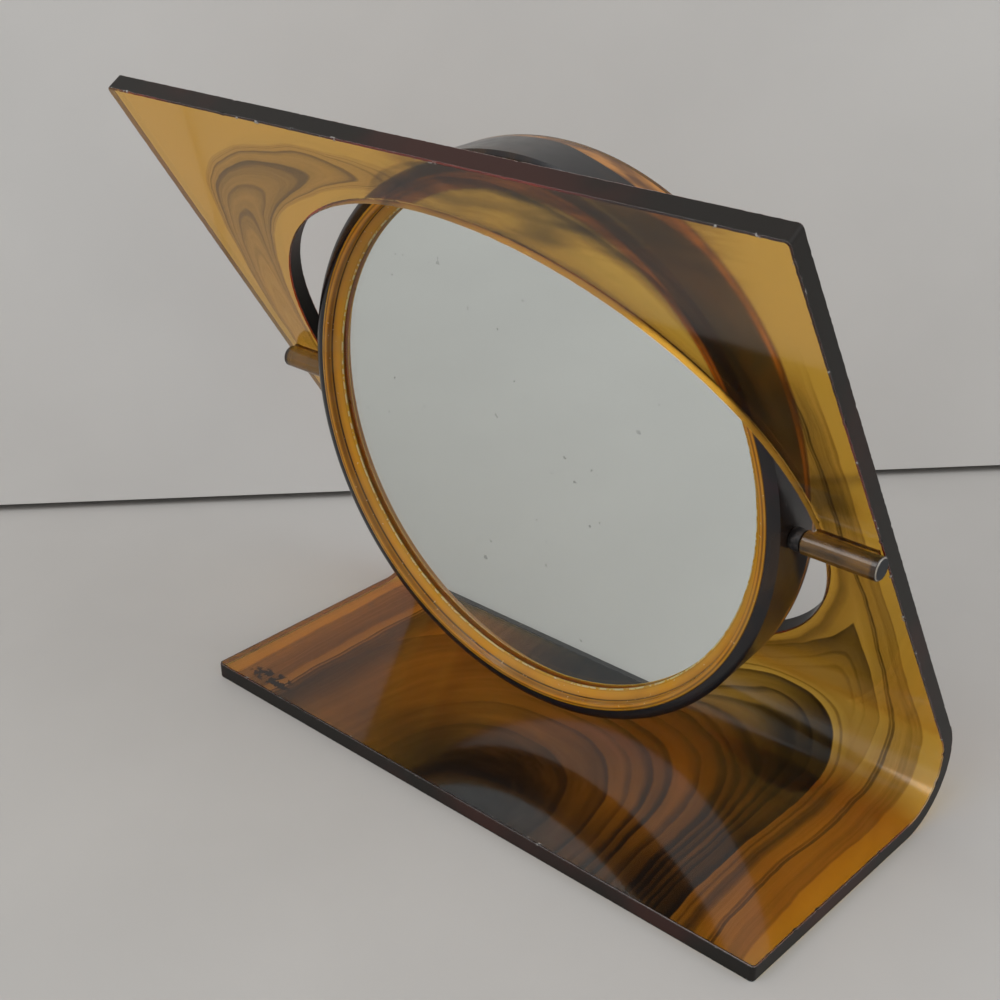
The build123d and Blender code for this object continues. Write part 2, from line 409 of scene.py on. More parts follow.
def edge_patch(across, along):
    """Grid of the cut edge, from the front face's rim to the back face's."""
    place, inward = outline_point(across, along)
    width = chips(place)
    step_in = place + inward * width[..., None]
    rows = [
        (step_in, 0 * width), (place, width),
        (place, sheet_thickness - width), (step_in, 0 * width + sheet_thickness),
    ]
    return np.stack([sheet_point(p[..., 0], p[..., 1], d) for p, d in rows])


across_steps = graded(sheet_width)
up_steps = graded(2 * (sheet_length - panel_start))
up_steps = sheet_length - up_steps[up_steps < sheet_length - panel_start - hair][::-1]
up_steps = np.concatenate([[panel_start], up_steps])
base_steps = graded(2 * base_flat)
base_steps = base_steps[base_steps < base_flat - hair]
low_steps = np.concatenate([base_steps, np.linspace(base_flat, panel_start, bend_steps + 1)])

# Outline of the panel from its lower left corner, round to the right, and back
panel_across = np.concatenate([
    across_steps, np.full(len(up_steps) - 2, sheet_width), across_steps[::-1],
    np.zeros(len(up_steps) - 1),
])
panel_along = np.concatenate([
    np.full(len(across_steps), panel_start), up_steps[1:-1],
    np.full(len(across_steps), sheet_length), up_steps[::-1][1:],
])
bearing = np.arctan2(panel_along - hole_along, panel_across - hole_across)
hole_place = np.stack([
    hole_across + hole_radius * np.cos(bearing), hole_along + hole_radius * np.sin(bearing)
], -1)
hole_outward = np.stack([np.cos(bearing), np.sin(bearing)], -1)
hole_flat = chips(hole_place)
hole_rim = hole_place + hole_outward * hole_flat[:, None]
share = np.linspace(0, 1, ring_rows + 1)[:, None, None]
panel_rim = np.stack([panel_across, panel_along], -1)
ring = panel_rim * (1 - share) + hole_rim * share
on_rim = np.zeros(ring.shape[:2], bool)
on_rim[0] = (
    (panel_along > panel_start) | (panel_across < hair) | (panel_across > sheet_width - hair)
)
low_across, low_along = np.meshgrid(across_steps, low_steps)
low_rim = (low_across < hair) | (low_across > sheet_width - hair) | (low_along < hair)

full_across = np.concatenate([
    across_steps, np.full(len(low_steps) + len(up_steps) - 3, sheet_width),
    across_steps[::-1], np.zeros(len(low_steps) + len(up_steps) - 2),
])
sides = np.concatenate([low_steps, up_steps[1:]])
full_along = np.concatenate([
    np.zeros(len(across_steps)), sides[1:-1], np.full(len(across_steps), sheet_length),
    sides[::-1][1:],
])
hole_rows = [
    (hole_rim, 0 * hole_flat), (hole_place, hole_flat),
    (hole_place, sheet_thickness - hole_flat), (hole_rim, 0 * hole_flat + sheet_thickness),
]

amber_take = np.array([4.0, 92.0, 430.0])   # share of each colour taken up in a metre
amber_density = amber_take.max()
amber_pale = tuple(1 - amber_take / amber_density) + (1,)
acrylic_ior = 1.49
dust_film, dust_colour = 0.01, (0.45, 0.44, 0.42, 1)
# These colour the smoke and also its two marks of painted shade
smoke_and_shade_strength = 4.8
smoke_and_shade_black, smoke_and_shade_brown = (0.0004, 0.0003, 0.0002, 1), (0.55, 0.48, 0.41, 1)


def acrylic(name, colour, roughness, lamp_tint=(1, 1, 1, 1), sawn=None):
    """Clear amber plastic. The amber deepens with the way that light goes inside it, and
    colour dims what crosses the surface. Colour and roughness are values, or functions
    that make a wire. Where the mask that sawn makes is 1 the surface is a dark sawn one,
    and elsewhere it wears a thin film of dust. Lamps shine through."""
    material, paint = start_material(name)
    sockets = {
        "Base Color": colour(paint) if callable(colour) else colour,
        "Roughness": roughness(paint) if callable(roughness) else roughness,
        "IOR": acrylic_ior, "Transmission Weight": 1.0,
    }
    plastic = paint.node("ShaderNodeBsdfPrincipled", {}, sockets)
    if sawn:
        mask, dark = sawn(paint)
        marks = paint.node(
            "ShaderNodeBsdfPrincipled", {},
            {"Base Color": mask.tint(dust_colour, dark), "Roughness": 0.45,
             "Specular IOR Level": 0.16},
        )
        share = mask * (1 - dust_film) + dust_film
        plastic = paint.node("ShaderNodeMixShader", {}, {0: share, 1: plastic, 2: marks})
    clear = paint.node("ShaderNodeBsdfTransparent", {}, {"Color": lamp_tint})
    lamp_ray = paint.node("ShaderNodeLightPath", {}, {}, "Is Shadow Ray")
    surface = paint.node("ShaderNodeMixShader", {}, {0: lamp_ray, 1: plastic, 2: clear})
    amber = paint.node(
        "ShaderNodeVolumeAbsorption", {}, {"Color": amber_pale, "Density": amber_density}
    )
    return end_material(material, surface, amber)


def blot(u, v, centre_u, centre_v, wide, high):
    """Soft spot: 1 at its centre and about a third at the given half widths."""
    left = (u - centre_u) / wide
    up = (v - centre_v) / high
    return (0 - left * left - up * up).maths("EXPONENT")


def flat_spot(paint):
    """The sheet's flat coordinates in millimetres: across, along, and depth below its
    front face."""
    spot = paint.node("ShaderNodeAttribute", {"attribute_name": "sheet"}, {}, "Vector")
    return paint.node("ShaderNodeVectorMath", {"operation": "SCALE"}, {0: spot, "Scale": 1 / mm})


def flat_place(paint):
    """The same three, each as its own wire."""
    across = paint.node("ShaderNodeSeparateXYZ", {}, {0: flat_spot(paint)})
    return across, across.other(1), across.other(2)


def shifted(spot, scale, size):
    """Moves places across and along by noise, up to half of size to either side."""
    shift = spot.noise(scale, 2).other("Color")
    shift = shift.vector("MULTIPLY_ADD", (size, size, 0), (-size / 2, -size / 2, 0))
    return spot.vector("ADD", shift)


def oval(x, y, power):
    """Size of the oval through a place, where size^power is x^power + y^power. The higher
    the power, the squarer its shoulders. Below 0 it is a rounded lesser of x and y."""
    return (x ** power + y ** power) ** (1 / power)


def pool_arch(across, v):
    """Which arch of the pool a place lies on: 0 in the middle of the arches' feet, on the
    sheet's front edge, and 1 on the outermost. Inner arches are rounder, and outer ones
    reach further into the upper right corner."""
    half_width, lift, tall, round_tall, inner_tall = 72, 38.7, 77.4, 91, 92
    reach = across.maths("ABSOLUTE") / half_width
    height = v.maths("MAXIMUM", 0)
    rounder = oval(reach, height / round_tall, 2.5)
    inner = oval(reach, height / inner_tall, 3.5)
    inner = rounder + (inner - rounder) * inner.rise(0.45, 0.8)
    tilt = (across / half_width).maths("MAXIMUM", -0.2) * lift
    lifted = ((height - tilt) / tall).maths("MAXIMUM", 0)
    outer = oval(reach, lifted, 4)
    blend = ((inner + outer) * 0.5 - 0.8) / 0.2
    blend = blend.maths("MAXIMUM", 0).maths("MINIMUM", 1)
    return inner + blend * (outer - inner)


def pool_smoke(u, v, across, arch):
    """The dark pool on the base: lines along its arches, denser on the right and in front
    and nearly even on the left, with a grain along them and a few blots."""
    low_arches = arch.graph(
        (0, 0.9), (0.2, 0.8), (0.33, 0.6), (0.38, 0.66), (0.386, 0.36), (0.44, 0.3), (0.5, 0.42),
        (0.514, 0.78), (0.518, 0.26), (0.56, 0.22), (0.578, 0.42), (0.583, 0.2), (0.61, 0.26),
        (0.633, 0.8), (0.638, 0.24), (0.66, 0.3), (0.678, 0.9), (0.684, 0.2), (0.72, 0.18),
        (0.752, 0.46), (0.757, 0.18), (0.80, 0.26), (0.826, 0.8), (0.831, 0.26), (0.84, 0.3),
        (0.856, 0.7), (0.86, 0.26), (0.872, 0.34), (0.884, 0.82), (0.888, 0.3), (0.9, 0.26),
    )
    high_arches = arch.graph(
        (0.9, 0), (0.905, 0.12), (0.913, 0.5), (0.917, 0.02), (0.93, 0.1),
        (0.940, 0.56), (0.944, 0.04), (0.965, 0.12), (0.985, 0.36), (0.998, 0.62), (1.004, 0),
    )
    pool = low_arches + high_arches
    even = across.rise(10, -45)
    pool = pool * (0.74 + 0.85 * across.rise(32, 68) + v.rise(56, 38) * 0.4)
    pool = pool * (1 - even) + even * 0.23
    along = v.maths("MAXIMUM", 0).maths("ARCTAN2", across)
    grain = (arch * 22).beside(along * 1.6).noise(1, 2)
    pool = pool * (grain * 1.3 + 0.35)
    pool = pool + blot(u, v, 163, 78, 12, 15) * 0.8
    pool = pool + blot(u, v, 95, 6, 26, 14) * 0.35 + blot(u, v, 74, 14, 20, 14) * 0.22
    return pool + v.rise(28, 6) * across.rise(-30, 10) * 0.25


def side_smoke(u, v, right):
    """Streaks along the two long edges. The right-hand ones close up towards the pivot."""
    lean = v.rise(90, 165) * 0.5 + 1
    band = right * lean
    right_side = band.graph(
        (0, 0), (6.4, 0), (7.1, 0.28), (8, 0.18), (10.5, 0.24), (12, 0.12), (14.9, 0.14),
        (15.2, 0.6), (15.7, 0.7), (16.0, 0.2), (16.5, 0.5), (17.1, 0.1), (19, 0.06), (21, 0),
    )
    right_low = right.graph(
        (16.8, 0), (20.2, 0.08), (21.4, 0.42), (22.6, 0.6), (23.8, 0.42), (24.6, 0.14),
        (27, 0.14), (30, 0.0),
    )
    left_side = u.graph(
        (0, 0), (7.6, 0.0), (8.8, 0.34), (9.6, 0.26), (18.8, 0.32), (19.8, 0.38), (20.6, 0.22),
        (21.5, 0.08), (23.9, 0.02), (24.4, 0.8), (24.8, 0.2), (25.3, 0.25), (25.8, 0.8),
        (26.4, 0.55), (28.5, 0.62), (31.5, 0.4), (36, 0.16), (45, 0.0),
    )
    sides = right_side * v.rise(262, 230) + left_side * v.rise(160, 110)
    sides = sides + right_low * v.rise(84, 62)
    high_band = u.rise(194, 191.5) * u.rise(184, 186) * v.rise(190, 205) * v.rise(256, 240)
    sides = sides + high_band * 0.18
    strands = (u * 1.3).beside(v * 0.03).noise(1, 3)
    return sides * (strands * 1.4 + 0.3)


def corner_smoke(u, v, length, out, turn):
    """Fingers in the upper left corner, between the hole's edge and the sheet's own. Each
    bends round the hole and points to the top."""
    edge = oval(u.maths("MAXIMUM", 0.1), (length - v).maths("MAXIMUM", 0.1), -0.8)
    between = out / (out + edge)
    middle = turn.rise(40, 15) * -0.052 + 0.472
    away = (between - middle).maths("ABSOLUTE")
    outer_side = (between - middle).rise(-0.001, 0.001) * turn.rise(44, 72)
    steep = 430 - 310 * outer_side
    limit = 0.33 + 0.07 * outer_side
    spread = away * away * steep / (1 - (away / limit) ** 4).maths("MAXIMUM", 0.02)
    finger = 180 - turn - spread
    fingers = finger.graph(
        (80, 0), (84, 0.04), (85, 0.16), (86, 0.05), (89, 0.07), (89.8, 0.3), (91, 0.1),
        (93.2, 0.12), (94, 0.36), (95, 0.14), (99.5, 0.12), (100.8, 0.5), (102.4, 0.3),
        (106, 0.16), (111.6, 0.2), (112.8, 0.68), (115, 0.5), (119, 0.28), (121, 0.36),
        (122, 0.26), (127, 0.2), (128, 0.44), (129.5, 0.26), (137, 0.2), (138, 0.52), (140, 0.3),
        (147, 0.16), (150, 0.24), (151, 0.14), (160, 0.12), (180, 0.1),
    )
    wisps = (finger * 0.35).beside(turn * 0.03).noise(1, 3)
    return fingers * (wisps * 1.2 + 0.4)


def wedge_smoke(u, v, out):
    """The wedge between the hole and the right-hand streaks, with arches inside it."""
    flank = v.graph((60, 0.0), (75, 0.15), (90, 0.32), (110, 0.55), (130, 0.72), (153, 0.8))
    to_flank = ((flank * 10 + 176.3 - u) * 1.3).maths("MAXIMUM", 0.01)
    to_hole = (out - 4.3 - ((v - 126) * 0.19).maths("MAXIMUM", 0)).maths("MAXIMUM", 0.01)
    wedges = oval(to_flank, to_hole, -3).graph(
        (0.0, 0.0), (0.1, 0.1), (0.5, 0.7), (1.1, 0.55), (3, 0.46), (5.6, 0.38), (6.2, 0.56),
        (7.2, 0.28), (9.5, 0.22), (10.2, 0.42), (11.5, 0.2), (16, 0.15), (24, 0.08),
    )
    wedges = wedges * v.rise(182, 165)
    wedges = wedges * (0.22 + 0.4 * v.rise(92, 116) + 0.45 * v.rise(112, 136))
    return wedges * (0.5 + 0.5 * u.rise(158, 177))


def top_smoke_and_bezel_shade(u, v, across, length):
    """Level streaks along the top edge, and a dark streak that rises from the hole's edge
    and comes down again on the right. That streak is painted shade: it follows the drum's
    bezel as seen through the panel and darkens it as the panel's shadow would."""
    bank = v + (across * 0.045).maths("SINE") * 2
    bank = bank.graph(
        (266, 0), (272, 0.06), (276, 0.26), (279, 0.18), (281, 0.36), (284, 0.26), (286, 0.4),
        (length, 0.3),
    ) * across.rise(-8, 12) * across.rise(92, 76)
    clouds = (u * 0.045).beside(v * 0.22).noise(1, 3)
    bank = bank * clouds.rise(0.3, 0.65)

    # Painted shade: the streak traces the bezel's circle as seen through the panel
    aside = (u - 125) / 51
    above = (v - 235) / 52
    arc = (aside * aside + above * above).maths("SQRT")
    streak = arc.graph(
        (0.9, 0), (0.93, 0.14), (0.965, 0.3), (0.985, 0.6), (1.0, 0.66), (1.012, 0.26),
        (1.05, 0.14), (1.085, 0.28), (1.1, 0.04), (1.2, 0),
    ) * v.rise(226, 250) * u.rise(82, 94)
    streak = streak * (clouds * 0.8 + 0.6)
    blots = blot(u, v, 178, 238, 5, 14) * 0.4 + blot(u, v, 173, 272, 9, 13) * 0.16
    return bank + streak + blots


def smoke_and_shade_depth(paint):
    """How dense the smoke is, with its two marks of painted shade, from the sheet's flat
    coordinates in millimetres: u across and v along, after a slow drift and a finer waver."""
    width, length = sheet_width / mm, sheet_length / mm
    hole_u, hole_v, hole_size = hole_across / mm, hole_along / mm, hole_radius / mm
    spot = shifted(shifted(flat_spot(paint), 0.022, 5), 0.08, 1.4)
    u = spot.node("ShaderNodeSeparateXYZ", {}, {0: spot})
    v = u.other(1)

    # Everything near the right-hand side fans out towards the front corner.
    fan_depth, fan_width = 12, 3
    fan = (v / -fan_depth).maths("EXPONENT") * fan_width
    u = u - fan * u.rise(110, 172)
    across = u - hole_u

    arch = pool_arch(across, v)
    inside = arch.rise(1.006, 0.998)
    pool = pool_smoke(u, v, across, arch) * inside

    # Just outside the pool, a fine line follows it
    halo = arch.graph(
        (1.004, 0), (1.012, 0.02), (1.022, 0.05), (1.03, 0.38), (1.037, 0.06), (1.06, 0.12),
        (1.09, 0.04), (1.2, 0),
    ) * across.rise(15, 45)

    # Distance outside the hole, and bearing round it in degrees from its left
    up = v - hole_v
    out = ((across * across + up * up).maths("SQRT") - hole_size).maths("MAXIMUM", 0)
    turn = up.maths("ARCTAN2", across * -1) * math.degrees(1)
    corner = corner_smoke(u, v, length, out, turn) * v.rise(180, 196) * across.rise(20, -2)
    wedges = wedge_smoke(u, v, out) * arch.rise(1.03, 1.1) * across.rise(20, 40)

    # A dark line runs round the hole, a little outside it
    rim = out.graph(
        (1.6, 0), (2.6, 0.1), (3.4, 0.4), (4.4, 0.3), (6, 0.12), (10, 0.03), (14, 0)
    ) * across.rise(-30, 30)

    # Single clouds, a blot of painted shade where the shelf's shadow shows through the
    # right side of the panel, and the small black spots near the front left corner
    single = blot(u, v, 138, 274.5, 7, 2.6) * 0.42 + blot(u, v, 147, 280, 12, 4) * 0.2
    # Painted shade: the blot at 190, 208 is the shaded shelf seen through the sheet
    single = single + blot(u, v, 190, 208, 6, 6) * 0.36
    ink = spot.noise(0.42, 2).rise(0.47, 0.53) * blot(u, v, 19, 5, 9, 3.2).rise(0.25, 0.6)
    single = single + ink * 1.4

    sides, top = side_smoke(u, v, width - u), top_smoke_and_bezel_shade(u, v, across, length)
    return pool + halo + sides + corner + wedges + rim * (1 - inside) + top + single


def cut_edge(depth):
    """1 on the sheet's cut edges and 0 on its two faces and their scraped flats."""
    thick, flat, past = sheet_thickness / mm, 0.28, 0.36
    return depth.rise(flat, past) * depth.rise(thick - flat, thick - past)


def sheet_colour(paint):
    """What the sheet's surface leaves of the light. The smoke, with its marks of painted shade,
    lies at the front face. A surface takes a colour's root on the way through, so its depth
    counts twice. The wall of the hole is smoky too."""
    across, _, depth = flat_place(paint)
    smoky = cut_edge(depth) * across.rise(0.5, 2)
    clear = (smoke_and_shade_depth(paint) * depth.rise(0.05, 0.01) * -smoke_and_shade_strength).maths("EXPONENT")
    shades = [(0, smoke_and_shade_black), (0.5, smoke_and_shade_brown), (1, (1, 1, 1, 1))]
    face = clear.node("ShaderNodeValToRGB", {"stops": shades}, {"Fac": clear})
    return smoky.tint(face, (0.02, 0.014, 0.012, 1))


def sheet_roughness(paint):
    """Faces dulled by handling, most in the bend, and scraped flats and sawn walls."""
    _, along, depth = flat_place(paint)
    thick, skin, past = sheet_thickness / mm, 0.02, 0.1
    edge = depth.rise(skin, past) * depth.rise(thick - skin, thick - past)
    bend = along.rise(66, 80) * along.rise(104, 92)
    return edge * 0.2 + along.rise(125, 75) * 0.035 + bend * 0.08 + 0.055


def sawn_edge(paint):
    """The front, top and right-hand edges and the hole's wall on the left and below, sawn
    and near-black, with a wine-red cast in places and small pale chips at the rims. The
    rest of the hole's wall is only dull."""
    across, along, depth = flat_place(paint)
    width, length, inside, rim = sheet_width / mm, sheet_length / mm, 0.9, 0.5
    ends = along.rise(inside, rim).maths("MAXIMUM", along.rise(length - inside, length - rim))
    outer = ends.maths("MAXIMUM", across.rise(width - inside, width - rim))
    wall = across.rise(70, 50).maths("MAXIMUM", along.rise(160, 140)) * across.rise(2, 4)
    place = object_place(paint)
    cloud = place.noise(18, 3).rise(0.48, 0.65)
    dark = cloud.tint((0.014, 0.012, 0.010, 1), (0.034, 0.014, 0.011, 1))
    chip = place.noise(420, 3).rise(0.65, 0.69) * depth.rise(0.7, 0.4) * outer
    sawn = outer.maths("MAXIMUM", wall).maths("MAXIMUM", 0.6)
    mask = (cut_edge(depth) * sawn).maths("MAXIMUM", chip)
    return mask, chip.tint(dark, (0.28, 0.27, 0.25, 1))


sheet_acrylic = acrylic(
    "tortoise_acrylic", sheet_colour, sheet_roughness, (0.66, 0.77, 0.84, 1), sawn_edge
)
sheet = add_piece(
    "bent_sheet",
    [
        (face_patch(low_across, low_along, 0, low_rim), 0),
        (face_patch(low_across, low_along, sheet_thickness, low_rim), 0),
        (face_patch(ring[..., 0], ring[..., 1], 0, on_rim), 0),
        (face_patch(ring[..., 0], ring[..., 1], sheet_thickness, on_rim), 0),
        (edge_patch(full_across, full_along), 0),
        (np.stack([sheet_point(p[:, 0], p[:, 1], d) for p, d in hole_rows]), 0),
    ],
    [sheet_acrylic], extra="sheet",
)
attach(sheet, "stand")
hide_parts("stand_sheet")


# The pivot rods: short acrylic rods laid on the panel's front face and cemented there.
# Each is bored at its inner end for the drum's pin, and its sawn ends are near-black.
rod_radius = 3.0 * mm
rod_end_round = 0.4 * mm
pin_bore_radius = 1.25 * mm
pin_bore_depth = 9.5 * mm
rod_turns = 64
pivot_y, pivot_z = frame["joints"][0]["pos_m"][1:]


def turned(outline, origin, side, up, axis, turns):
    """Outline of radii and heights turned once round an axis: each point goes to origin +
    height x axis + radius x (cosine x side + sine x up)."""
    outline = np.asarray(outline, float)
    angle = np.linspace(0, 2 * math.pi, turns + 1)
    angle[-1] = 0
    radius, height = outline[:, :1, None], outline[:, 1:, None]
    spoke = np.cos(angle)[:, None] * np.array(side) + np.sin(angle)[:, None] * np.array(up)
    return np.array(origin) + radius * spoke[None] + height * np.array(axis)


rod_amber, rod_smoke = (0.25, 0.13, 0.024, 1), (0.020, 0.014, 0.009, 1)
# Painted reflection and painted highlight: the dark near a rod's end, the pale on its edge
rod_reflection_dark, rod_highlight_pale = (0.008, 0.008, 0.010, 1), (0.45, 0.42, 0.36, 1)


def sawn_end():
    """Near-black sawn face, with the faint arcs of the saw."""
    material, paint = start_material("rod_end")
    arcs = object_place(paint).vector("MULTIPLY", (1, 3000, 600)).noise(1, 2)
    return end_plain(material, paint, {
        "Base Color": arcs.tint((0.004, 0.005, 0.007, 1), (0.016, 0.018, 0.022, 1)),
        "Roughness": 0.4, "Specular IOR Level": 0.2,
    })


def rod_plastic(name, outer_end, smoke):
    """Cloudy amber plastic with smoky streaks along the rod. Near the sawn end a dark band is
    a painted reflection of the dark end face inside the rod, and a pale ring on the end's
    rounded edge is a painted highlight."""
    material, paint = start_material(name)
    place = object_place(paint)
    far = paint.node("ShaderNodeSeparateXYZ", {}, {0: place}).maths("ABSOLUTE")
    streak = place.vector("MULTIPLY", (45, 420, 420)).noise(1, 3).rise(0.36, 0.62)
    cloud = place.noise(160, 3).rise(0.35, 0.7)
    side = (streak * (0.45 + 0.55 * cloud) * smoke).tint(rod_amber, rod_smoke)
    # Painted highlight: a pale ring on the end's rounded edge
    ring = far.rise(outer_end - 0.3 * mm, outer_end - 0.2 * mm)
    # Painted reflection: the dark end face seen mirrored inside the rod
    end_reflection_band = far.rise(outer_end - 2 * mm, outer_end - 1.2 * mm) * 0.85
    colour = ring.tint(end_reflection_band.tint(side, rod_reflection_dark), rod_highlight_pale)
    return end_plain(material, paint, {
        "Base Color": colour, "Roughness": cloud * 0.1 + 0.08, "IOR": acrylic_ior,
        "Transmission Weight": 0.5,
    })


for side, smoke in (("left", 0.2), ("right", 1)):
    low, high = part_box(f"{side}_pivot_rod")
    inner, outer = sorted((low.x, high.x), key=abs)
    outward = 1 if outer > inner else -1
    length = abs(outer - inner)
    body = [
        (rod_radius - rod_end_round, 0), (rod_radius, rod_end_round),
        (rod_radius, length - rod_end_round), (rod_radius - rod_end_round, length),
    ]
    bore = [
        (0, pin_bore_depth), (pin_bore_radius, pin_bore_depth), (pin_bore_radius, 0),
        (rod_radius - rod_end_round, 0),
    ]
    frame_of_rod = ((inner, pivot_y, pivot_z), (0, 1, 0), (0, 0, 1), (outward, 0, 0), rod_turns)
    rod = add_piece(
        f"{side}_rod",
        [
            (turned(body, *frame_of_rod), 0), (turned(bore, *frame_of_rod), 0),
            (turned([(rod_radius - rod_end_round, length), (0, length)], *frame_of_rod), 1),
        ],
        [rod_plastic(f"{side}_rod_acrylic", abs(outer), smoke), sawn_end()],
    )
    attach(rod, "stand")
    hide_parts(f"{side}_pivot_rod")


# The drum's case: a dark moulded ring with a rounded front rim, slightly narrower at the
# rear, and a ledge inside on which both bezels seat.
drum_lean = math.radians(3.7)
drum_side_shift = 0.75 * mm
case_radius, case_inner_radius = 77.5 * mm, 74.5 * mm
case_rear_radius = 76.8 * mm
ledge_radius = 73.2 * mm
rim_height, rim_top, rim_crown = 5.7 * mm, 6.7 * mm, 0.3 * mm
case_rear_height = -9.8 * mm
ledge_front_height, ledge_rear_height = 1.6 * mm, -8.0 * mm
drum_turns = 288
drum_frame = (
    (drum_side_shift, pivot_y, pivot_z),
    (1, 0, 0),
    (0, -math.sin(drum_lean), math.cos(drum_lean)),
    (0, -math.cos(drum_lean), -math.sin(drum_lean)),
    drum_turns,
)


def crowned(start, end, rise, count=8):
    """Bowed run between two outline points: a straight run lifted by a parabola, whose
    height at the middle is rise, square to the run."""
    start, end = np.array(start), np.array(end)
    share = np.linspace(0, 1, count + 1)[:, None]
    run = end - start
    square = np.array([run[1], -run[0]]) / np.linalg.norm(run)
    return start + share * run + 4 * rise * share * (1 - share) * square


case_outline = np.vstack([
    crowned((case_inner_radius, rim_top), (case_radius, rim_height), -rim_crown),
    crowned((case_radius, rim_height), (case_rear_radius, case_rear_height), 0, 4),
    [(case_inner_radius, case_rear_height), (case_inner_radius, ledge_rear_height),
     (ledge_radius, ledge_rear_height), (ledge_radius, ledge_front_height),
     (case_inner_radius, ledge_front_height), (case_inner_radius, rim_top)],
])


def marked(grid, way):
    """Adds to each row of points how far, in metres, it lies in from the ring's outer edge,
    as measured along its face."""
    mark = np.zeros_like(grid)
    mark[..., 0] = np.asarray(way)[:, None]
    return np.concatenate([grid, mark], -1)


def way_along(outline):
    """Distance along an outline from its first point."""
    return np.append(0, np.cumsum(np.linalg.norm(np.diff(outline, axis=0), axis=1)))


def face_way(paint):
    """The same distance in millimetres, inside a material."""
    face = paint.node("ShaderNodeAttribute", {"attribute_name": "face"}, {}, "Vector")
    return paint.node("ShaderNodeSeparateXYZ", {}, {0: face}) * (1 / mm)


def case_plastic():
    """Glossy tortoise plastic: near-black, with brown and wine-red clouds, and amber near
    the rear edge. The amber widens on the upper right."""
    material, paint = start_material("case_plastic")
    place = object_place(paint)
    cloud = place.noise(38, 3, 0.6, 0.8).rise(0.48, 0.66)
    brown = cloud.tint((0.007, 0.006, 0.007, 1), (0.030, 0.016, 0.008, 1))
    wine = place.vector("ADD", (0.3, 0.1, 0.2)).noise(60, 3, 0.6, 0.6).rise(0.56, 0.68)
    colour = (wine * 0.6).tint(brown, (0.022, 0.008, 0.012, 1))
    side = paint.node("ShaderNodeSeparateXYZ", {}, {0: place})
    wide = side.rise(-0.005, 0.035) * side.other(2).rise(0.158, 0.170)
    start = 17.3 - wide * 5 + (place.noise(30, 2) - 0.5) * 4
    way = face_way(paint)
    amber = (way - start).rise(0, 0.8) * way.rise(19.2, 19)
    streaks = place.vector("MULTIPLY", (60, 260, 60)).noise(1, 3).rise(0.35, 0.65)
    colour = amber.tint(colour, streaks.tint((0.36, 0.15, 0.03, 1), (0.10, 0.04, 0.012, 1)))
    roughness = place.noise(240, 3) * 0.2 + 0.12
    return end_plain(material, paint, {
        "Base Color": colour, "Roughness": roughness, "IOR": acrylic_ior,
        "Specular IOR Level": 0.4,
    })


case = add_piece(
    "drum_case", [(marked(turned(case_outline, *drum_frame), way_along(case_outline)), 0)],
    [case_plastic()], extra="face",
)
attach(case, "mirror")
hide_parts("mirror_case")


# The front bezel: a moulded amber ring pressed into the case over the front glass, with a
# bead at its outer edge, a step down, and a lip that slopes to the glass.
seat_gap = 0.05 * mm
bezel_outer_radius = case_inner_radius - seat_gap
bead_inner_radius, step_radius = 72.5 * mm, 72.2 * mm
bead_crown = 0.2 * mm
step_height = 4.8 * mm
lip_radius, lip_height = 69.5 * mm, 3.3 * mm
glass_front_height, glass_thickness = 3.1 * mm, 2.0 * mm
skirt_radius = 72.3 * mm
optical_gap = 0.02 * mm         # pieces that touch keep this much air between them

bezel_outline = np.vstack([
    crowned((bezel_outer_radius, rim_top), (bead_inner_radius, rim_top), bead_crown),
    crowned((bead_inner_radius, rim_top), (step_radius, step_height), 0, 2),
    crowned((step_radius, step_height), (lip_radius, lip_height), 0, 2),
    [(lip_radius, glass_front_height + optical_gap),
     (skirt_radius, glass_front_height + optical_gap),
     (skirt_radius, ledge_front_height + optical_gap),
     (bezel_outer_radius, ledge_front_height + optical_gap), (bezel_outer_radius, rim_top)],
])


def ring_plastic():
    """Cloudy amber plastic with the fine dark and light lines of its mould, drawn out along
    the ring, and a painted highlight along the lip's edge near the glass, broken by nicks."""
    material, paint = start_material("bezel_plastic")
    place = object_place(paint)
    way = face_way(paint) + (place.noise(30, 2) - 0.5) * 0.25
    lines = way.graph(
        (0, 0.15), (0.15, 0.2), (0.25, 0.85), (0.6, 0.9), (0.75, 0.4), (1.05, 0.3), (1.2, 0.8),
        (1.6, 0.85), (1.8, 0.5), (2.2, 0.42), (2.9, 0.4), (3.1, 0.6), (3.4, 0.6),
        (3.55, 0.08), (3.9, 0.1), (4.1, 0.75), (4.6, 0.85), (5.4, 1), (6.2, 0.95), (6.4, 0.6),
        (6.5, 0.9), (7.1, 0.9), (7.3, 0.8), (9, 0.8),
    )
    cloud = place.noise(45, 4, 0.6, 0.5)
    lines = lines * (0.66 + 0.76 * cloud)
    colour = lines.tint((0.020, 0.007, 0.001, 1), (0.74, 0.32, 0.012, 1))
    tan = place.noise(70, 3).rise(0.4, 0.6) * way.rise(0.1, 0.4) * 0.2
    tan = tan + way.rise(7.0, 7.3) * 0.6
    colour = tan.tint(colour, (0.46, 0.30, 0.11, 1))
    # Painted highlight: pale glints along the lip's nicked edge near the glass
    lip_edge_highlight = way.rise(6.55, 6.65) * way.rise(7.1, 7.0) * place.noise(600, 3).rise(0.44, 0.52)
    specks = place.noise(900, 2).rise(0.70, 0.74) * 0.7
    colour = lip_edge_highlight.maths("MAXIMUM", specks).tint(colour, (0.80, 0.56, 0.26, 1))
    return end_plain(material, paint, {
        "Base Color": colour, "Roughness": cloud * 0.15 + 0.12, "IOR": acrylic_ior,
        "Specular IOR Level": 0.25, "Subsurface Weight": 0.8,
        "Subsurface Radius": (1.0, 0.6, 0.25),
        "Subsurface Scale": 3.5 * mm, "Transmission Weight": 0.35,
    })


